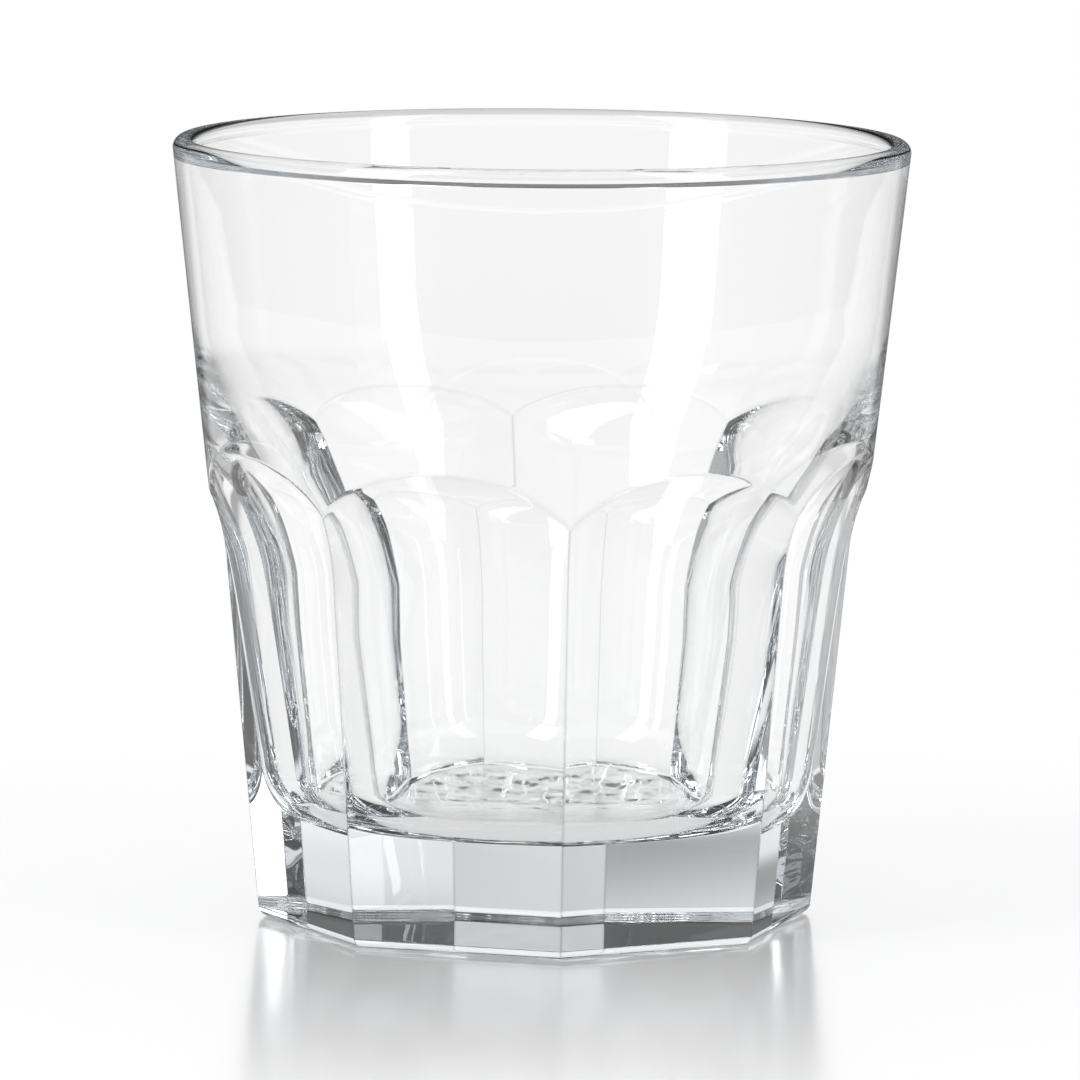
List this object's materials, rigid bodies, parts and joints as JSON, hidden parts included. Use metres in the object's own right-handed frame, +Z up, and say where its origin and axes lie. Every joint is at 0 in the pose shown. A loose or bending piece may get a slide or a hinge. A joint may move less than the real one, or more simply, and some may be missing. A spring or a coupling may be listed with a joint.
{
  "type": "rocks glass",
  "caption": "Rocks glass of clear pressed glass: heavy solid base, lower wall of flat panels that sweep out under arches, thin round upper wall and rounded lip.",
  "frame": {"origin": "middle of the flat underside, on the table", "axes": "+Z up the axis of the glass; one ridge between two panels faces -Y"},
  "size_m": [0.086, 0.086, 0.0915],
  "materials": {
    "glass": "clear pressed soda-lime glass, fire polished"
  },
  "bodies": {
    "root": {"base": "glass", "panelled_wall": "glass", "upper_wall": "glass", "rim": "glass"}
  },
  "joints": []
}
